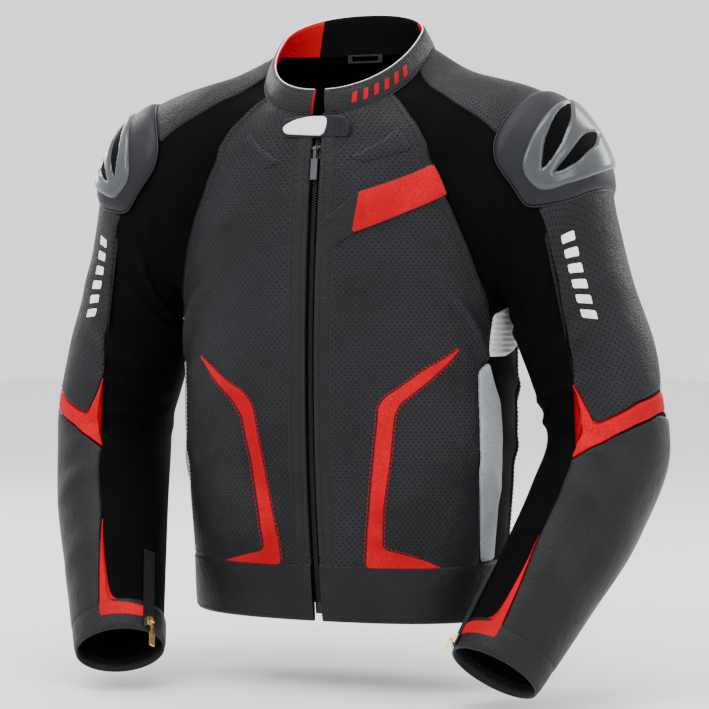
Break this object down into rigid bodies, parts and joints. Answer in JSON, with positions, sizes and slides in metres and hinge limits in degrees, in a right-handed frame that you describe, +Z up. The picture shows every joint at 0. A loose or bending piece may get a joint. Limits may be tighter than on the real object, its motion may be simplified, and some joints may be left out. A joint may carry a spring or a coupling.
{
  "type": "leather riding jacket",
  "caption": "Waist-length leather riding jacket with a front zip, pre-bent sleeves, hard shoulder cups and zipped cuffs; the sleeves, elbows, zips and collar tab move.",
  "frame": {"origin": "middle of the hanger loop inside the back of the neck", "axes": "+Z up along the wearer's spine, the wearer faces -Y, the wearer's left arm is on +X"},
  "size_m": [0.69, 0.2951, 0.7072],
  "materials": {
    "leather_perforated": "smooth cowhide with rows of small holes",
    "leather_black": "smooth grained cowhide",
    "stretch_fabric": "matt ribbed stretch fabric",
    "leather_red": "smooth dyed cowhide",
    "leather_white": "grained and pleated leather",
    "lining_fabric": "fine mesh lining",
    "lining_red": "knitted collar lining with red ends",
    "protector_foam": "closed-cell foam",
    "zip_black": "moulded teeth on woven tape",
    "metal_dark": "dark satin zinc",
    "metal_gold": "polished",
    "rubber_black": "moulded satin rubber",
    "badge_white": "moulded satin badge",
    "cup_grey": "pearl grey moulded shell"
  },
  "bodies": {
    "torso": {"front_panel_left": "leather_perforated", "front_panel_right": "leather_perforated", "side_panel_left": "stretch_fabric", "side_panel_right": "stretch_fabric", "shoulder_yoke_left": "leather_black", "shoulder_yoke_right": "leather_black", "hem_band_left": "leather_black", "hem_band_right": "leather_black", "front_stripe_left": "leather_red", "front_stripe_right": "leather_red", "side_accordion_left": "leather_white", "side_accordion_right": "leather_white", "side_flash_left": "leather_white", "side_flash_right": "leather_white", "zip_chain_left": "zip_black", "zip_chain_right": "zip_black", "back_panel": "leather_black", "hem_band_back": "leather_black", "torso_lining": "lining_fabric", "back_protector": "protector_foam", "chest_band": "leather_black", "chest_flash": "leather_red", "collar_shell": "leather_black", "collar_lining": "lining_red", "zip_box": "metal_dark", "wind_flap": "stretch_fabric", "tab_snap": "metal_dark", "hanger_loop": "leather_black", "trouser_zip": "zip_black"},
    "zip_slider": {"zip_slider": "metal_dark"},
    "zip_pull": {"zip_pull": "metal_dark"},
    "collar_tab": {"collar_tab": "rubber_black", "tab_badge": "badge_white"},
    "sleeve_left": {"sleeve_upper_left": "stretch_fabric", "sleeve_strip_left": "leather_black", "elbow_flash_left": "leather_red", "shoulder_cup_base_left": "rubber_black", "shoulder_cup_shell_left": "cup_grey", "shoulder_protector_left": "protector_foam"},
    "forearm_left": {"forearm_left": "leather_black", "cuff_left": "leather_black", "elbow_protector_left": "protector_foam", "cuff_zip_left": "zip_black", "cuff_flash_left": "leather_red"},
    "cuff_slider_left": {"cuff_zip_slider_left": "metal_gold"},
    "cuff_pull_left": {"cuff_zip_pull_left": "metal_dark"},
    "sleeve_right": {"sleeve_upper_right": "stretch_fabric", "sleeve_strip_right": "leather_black", "elbow_flash_right": "leather_red", "shoulder_cup_base_right": "rubber_black", "shoulder_cup_shell_right": "cup_grey", "shoulder_protector_right": "protector_foam"},
    "forearm_right": {"forearm_right": "leather_black", "cuff_right": "leather_black", "elbow_protector_right": "protector_foam", "cuff_zip_right": "zip_black", "cuff_flash_right": "leather_red"},
    "cuff_slider_right": {"cuff_zip_slider_right": "metal_gold"},
    "cuff_pull_right": {"cuff_zip_pull_right": "metal_dark"}
  },
  "joints": [
    {"name": "zip_slide", "type": "hinge", "parent": "torso", "child": "zip_slider", "pos_m": [0, 1.1629, -0.3312], "axis": [1, 0, 0], "range_deg": [0, 19.3]},
    {"name": "zip_pull_hinge", "type": "hinge", "parent": "zip_slider", "child": "zip_pull", "pos_m": [0, -0.14737, -0.10648], "axis": [-1, 0, 0], "range_deg": [0, 120]},
    {"name": "collar_tab_hinge", "type": "hinge", "parent": "torso", "child": "collar_tab", "pos_m": [-0.037, -0.1476, -0.08566], "axis": [0, -0.1842, -0.9829], "range_deg": [0, 140]},
    {"name": "shoulder_left", "type": "hinge", "parent": "torso", "child": "sleeve_left", "pos_m": [0.1655, -0.05, -0.1435], "axis": [-0.9773, 0, -0.2121], "range_deg": [0, 50]},
    {"name": "elbow_left", "type": "hinge", "parent": "sleeve_left", "child": "forearm_left", "pos_m": [0.23835, -0.08612, -0.3995], "axis": [-0.7162, 0.6774, -0.1677], "range_deg": [0, 45]},
    {"name": "cuff_zip_slide_left", "type": "slide", "parent": "forearm_left", "child": "cuff_slider_left", "axis": [0.2547, 0.5441, 0.7994], "range_m": [0, 0.074]},
    {"name": "cuff_pull_hinge_left", "type": "hinge", "parent": "cuff_slider_left", "child": "cuff_pull_left", "pos_m": [0.16398, -0.19661, -0.59847], "axis": [-0.4844, 0.7873, -0.3815], "range_deg": [0, 140]},
    {"name": "shoulder_right", "type": "hinge", "parent": "torso", "child": "sleeve_right", "pos_m": [-0.1655, -0.05, -0.1435], "axis": [-0.9773, 0, 0.2121], "range_deg": [0, 50]},
    {"name": "elbow_right", "type": "hinge", "parent": "sleeve_right", "child": "forearm_right", "pos_m": [-0.23835, -0.08612, -0.3995], "axis": [-0.7162, -0.6774, 0.1677], "range_deg": [0, 45]},
    {"name": "cuff_zip_slide_right", "type": "slide", "parent": "forearm_right", "child": "cuff_slider_right", "axis": [-0.2547, 0.5441, 0.7994], "range_m": [0, 0.074]},
    {"name": "cuff_pull_hinge_right", "type": "hinge", "parent": "cuff_slider_right", "child": "cuff_pull_right", "pos_m": [-0.16398, -0.19661, -0.59847], "axis": [-0.4844, -0.7873, 0.3815], "range_deg": [0, 140]}
  ]
}
